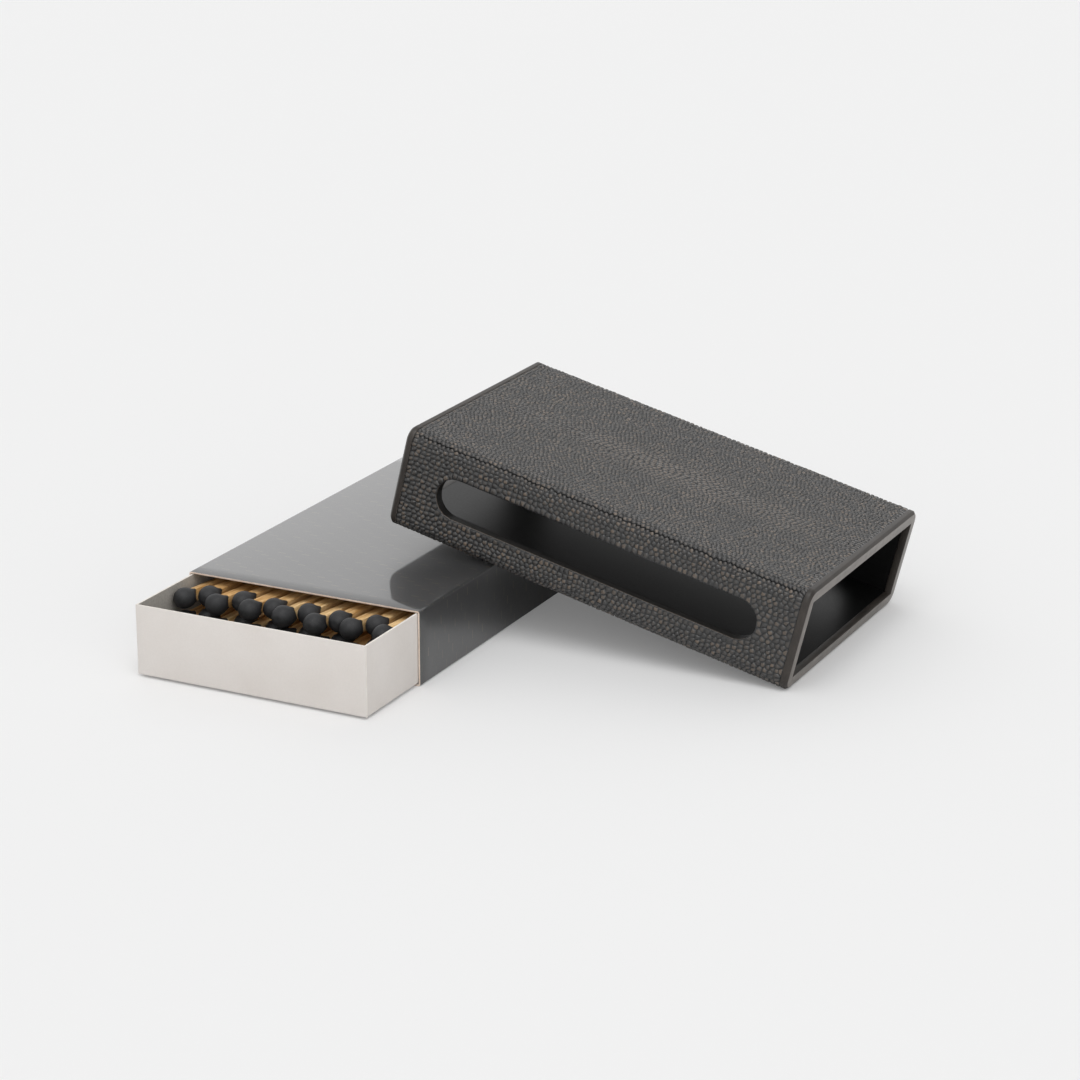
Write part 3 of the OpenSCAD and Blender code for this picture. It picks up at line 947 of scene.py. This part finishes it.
flap_width = 15 * mm
flap_step = 1 * mm
for flap_name, flap_y in (
    ("front", drawer_low.y + drawer_card),
    ("rear", drawer_high.y - 2 * drawer_card),
):
    for side_name, flap_x in (
        ("left", drawer_low.x + drawer_card),
        ("right", drawer_high.x - drawer_card - flap_width),
    ):
        flap = new_block(
            f"drawer_{flap_name}_{side_name}_flap",
            (flap_x, flap_y, drawer_low.z + drawer_card),
            (flap_x + flap_width, flap_y + drawer_card, drawer_high.z - flap_step),
        )
        bpy.ops.object.mode_set(mode="OBJECT")
        for finish in drawer_finishes:
            flap.data.materials.append(finish)
        for face in flap.data.polygons:
            face.material_index = 1 if abs(face.normal.y) > 0.9 else 2
        use_modifier(flap, "BEVEL", width=0.07 * mm, segments=2, limit_method="ANGLE")
        finish_drawer_piece(flap)


# Match sticks: split softwood splints, three millimetres square, in three layers of thirteen.
# The heads lie on heads and the tails on tails, so the sticks slope a little.
random.seed(5)
stick_side = 3 * mm
stick_length = 87.15 * mm
head_radius = 2.85 * mm
first_match_x = (4.4 - 77.0625) * mm
match_pitch = 4.8 * mm
first_head_y = (15.45 - 68) * mm
head_stagger = 4.6 * mm
layers = (
    ("bottom", 4.1 * mm, math.radians(0.92)),
    ("middle", 10.0 * mm, math.radians(2.80)),
    ("top", 15.9 * mm, math.radians(4.67)),
)

splint_wood, tree, shader, place = new_finish("splint_wood", Specular_IOR_Level=0.35)
own = node(tree, "Attribute", attribute_name="splint")
tones = node(tree, "SeparateColor", {"Color": own.outputs["Color"]}).outputs
drawn = node(tree, "Mapping", {"Vector": place, "Scale": (1, 0.05, 1)}).outputs["Vector"]
moved = node(
    tree,
    "VectorMath",
    {0: drawn, 1: node(tree, "CombineXYZ", {"Z": tones[1]}).outputs["Vector"]},
    operation="ADD",
).outputs["Vector"]
grain = node(tree, "TexNoise", {"Vector": moved, "Scale": 1500.0, "Detail": 5.0}).outputs["Fac"]
pale_wood = ramp(tree, grain, (0.3, (0.62, 0.36, 0.13)), (0.7, (0.92, 0.67, 0.36)))
deep_wood = ramp(tree, grain, (0.3, (0.50, 0.25, 0.07)), (0.7, (0.78, 0.46, 0.18)))
tree.links.new(blend_colours(tree, tones[0], pale_wood, deep_wood), shader.inputs["Base Color"])
tree.links.new(spread(tree, grain, 0.6, 0.85), shader.inputs["Roughness"])
add_bump(tree, shader, grain, 0.09 * mm)

model_stick = new_block(
    "model_stick",
    (-stick_side / 2, 0, -stick_side / 2),
    (stick_side / 2, stick_length, stick_side / 2),
)
select_where("EDGE", lambda e: abs(e.verts[0].co.y - e.verts[1].co.y) > mm)
bpy.ops.mesh.bevel(offset=0.14 * mm, segments=2, affect="EDGES")
select_where("EDGE", lambda e: abs(e.verts[0].co.y - e.verts[1].co.y) > mm)
bpy.ops.mesh.subdivide(number_cuts=9)
bpy.ops.object.mode_set(mode="OBJECT")
smooth(model_stick, 40)


def place_matches(model, name, finish, shape_copy):
    """Copies a model on to every match of a layer and joins the copies into one piece."""
    made = []
    for layer_name, head_z, slope in layers:
        copies = []
        for i in range(13):
            copy = bpy.data.objects.new(name, model.data.copy())
            bpy.context.scene.collection.objects.link(copy)
            place_of = matches[layer_name, i]
            shape_copy(copy, place_of)
            copy.data.transform(
                Matrix.Translation(place_of["head"])
                @ Matrix.Rotation(-slope, 4, "X")
                @ Matrix.Rotation(place_of["yaw"], 4, "Z")
                @ Matrix.Rotation(place_of["roll"], 4, "Y")
            )
            copies.append(copy)
        bpy.ops.object.select_all(action="DESELECT")
        for copy in copies:
            copy.select_set(True)
        bpy.context.view_layer.objects.active = copies[0]
        bpy.ops.object.join()
        joined = bpy.context.object
        joined.name = f"{layer_name}_{name}"
        joined.data.materials.clear()
        joined.data.materials.append(finish)
        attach(joined, "drawer")
        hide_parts(f"{layer_name}_layer_{name}")
        made.append(joined)
    bpy.data.objects.remove(model)
    return made


matches = {}
for layer_name, head_z, slope in layers:
    for i in range(13):
        head = Vector(
            (
                first_match_x + i * match_pitch + random.uniform(-0.25, 0.25) * mm,
                first_head_y + head_stagger * (i % 2) + random.uniform(-0.7, 1.0) * mm,
                head_z + random.uniform(-0.1, 0.15) * mm,
            )
        )
        matches[layer_name, i] = {
            "head": head,
            "yaw": math.radians(random.uniform(-0.4, 0.4)),
            "roll": math.radians(random.uniform(-14, 14)),
            "tone": random.random() ** 1.6,
            "number": layers.index((layer_name, head_z, slope)) * 13 + i,
        }


def shape_stick(copy, match):
    bow = random.uniform(-0.25, 0.25) * mm
    twist = random.uniform(-0.08, 0.08)
    narrow = random.uniform(0.93, 1.0)
    low = random.uniform(0.93, 1.0)
    for vertex in copy.data.vertices:
        share = vertex.co.y / stick_length
        turn = twist * share
        x, z = vertex.co.x * narrow, vertex.co.z * low
        vertex.co.x = x * math.cos(turn) - z * math.sin(turn) + bow * math.sin(math.pi * share)
        vertex.co.z = x * math.sin(turn) + z * math.cos(turn)
    own_tone = copy.data.attributes.new("splint", "FLOAT_COLOR", "POINT")
    colour = (match["tone"], match["number"] * 0.021, 0, 1)
    own_tone.data.foreach_set("color", colour * len(copy.data.vertices))


for sticks in place_matches(model_stick, "sticks", splint_wood, shape_stick):
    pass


# Match heads: the splints were dipped in a black striking paste, which dried as a round bead
# with a ragged collar where it ran back along the corners of the wood.
head_paste, tree, shader, place = new_finish("black_head_paste", Specular_IOR_Level=0.45)
noise = place_group(tree, mottle, {"Place": place, "Fine": 3800.0, "Broad": 520.0})
black = ramp(tree, noise["Broad"], (0.3, (0.016, 0.0165, 0.018)), (0.7, (0.034, 0.034, 0.036)))
dusty = node(tree, "MapRange", {"Value": noise["Fine"], "From Min": 0.62, "From Max": 0.75, "To Max": 0.4})
tree.links.new(
    blend_colours(tree, dusty.outputs["Result"], black, (0.10, 0.097, 0.092)), shader.inputs["Base Color"]
)
tree.links.new(spread(tree, noise["Broad"], 0.45, 0.68), shader.inputs["Roughness"])
add_bump(tree, shader, noise["Fine"], 0.05 * mm, 0.7)

# Half outline of a head: distance along the stick, radius, how square, and how ragged
head_outline = (
    (-2.85, 0.0, 0, 0),
    (-2.80, 0.55, 0, 0),
    (-2.62, 1.15, 0, 0),
    (-2.25, 1.76, 0, 0),
    (-1.72, 2.28, 0, 0),
    (-1.05, 2.65, 0, 0),
    (-0.3, 2.84, 0, 0),
    (0.5, 2.83, 0.10, 0),
    (1.2, 2.66, 0.3, 0.05),
    (1.8, 2.44, 0.55, 0.2),
    (2.35, 2.26, 0.85, 0.6),
    (2.75, 2.12, 1, 1),
    (2.72, 1.75, 1, 0.9),
    (2.2, 1.30, 1, 0.3),
    (1.6, 0.6, 0, 0),
    (1.5, 0.0, 0, 0),
)
outline = bpy.data.meshes.new("model_head")
outline.from_pydata(
    [(radius * mm, along * mm, 0) for along, radius, _, _ in head_outline],
    [(k, k + 1) for k in range(len(head_outline) - 1)],
    [],
)
model_head = bpy.data.objects.new("model_head", outline)
bpy.context.scene.collection.objects.link(model_head)
bpy.ops.object.select_all(action="DESELECT")
model_head.select_set(True)
bpy.context.view_layer.objects.active = model_head
bpy.ops.object.mode_set(mode="EDIT")
bpy.ops.mesh.select_all(action="SELECT")
bpy.ops.mesh.spin(steps=28, angle=math.tau, center=(0, 0, 0), axis=(0, 1, 0))
bpy.ops.mesh.select_all(action="SELECT")
bpy.ops.mesh.remove_doubles(threshold=0.01 * mm)
bpy.ops.mesh.normals_make_consistent(inside=False)
bpy.ops.object.mode_set(mode="OBJECT")
smooth(model_head, 70)


def shape_head(copy, match):
    waves = [(k, random.uniform(0, math.tau), random.uniform(0.3, 1) / k) for k in (1, 2, 3, 5, 8)]
    stretch = random.uniform(0.98, 1.12)
    squash = random.uniform(0.94, 1.0)
    table_of = [(a * mm, square, ragged) for a, _, square, ragged in head_outline]
    for vertex in copy.data.vertices:
        along, radius = vertex.co.y, math.hypot(vertex.co.x, vertex.co.z)
        if radius < 0.01 * mm:
            continue
        _, square, ragged = min(table_of, key=lambda row: abs(row[0] - along))
        angle = math.atan2(vertex.co.z, vertex.co.x)
        wave = sum(size * math.cos(k * angle + phase) for k, phase, size in waves)
        corner_reach = 1 / max(abs(math.cos(angle)), abs(math.sin(angle)))
        factor = (1 - square) + square * (0.86 * corner_reach ** 0.8)
        factor *= 1 + 0.018 * wave * squash
        vertex.co.x *= factor
        vertex.co.z *= factor * squash
        vertex.co.y = along * (stretch if along < 0 else 1)
        vertex.co.y += ragged * (0.38 * wave + 1.3 * (corner_reach - 1.1)) * mm


for heads in place_matches(model_head, "heads", head_paste, shape_head):
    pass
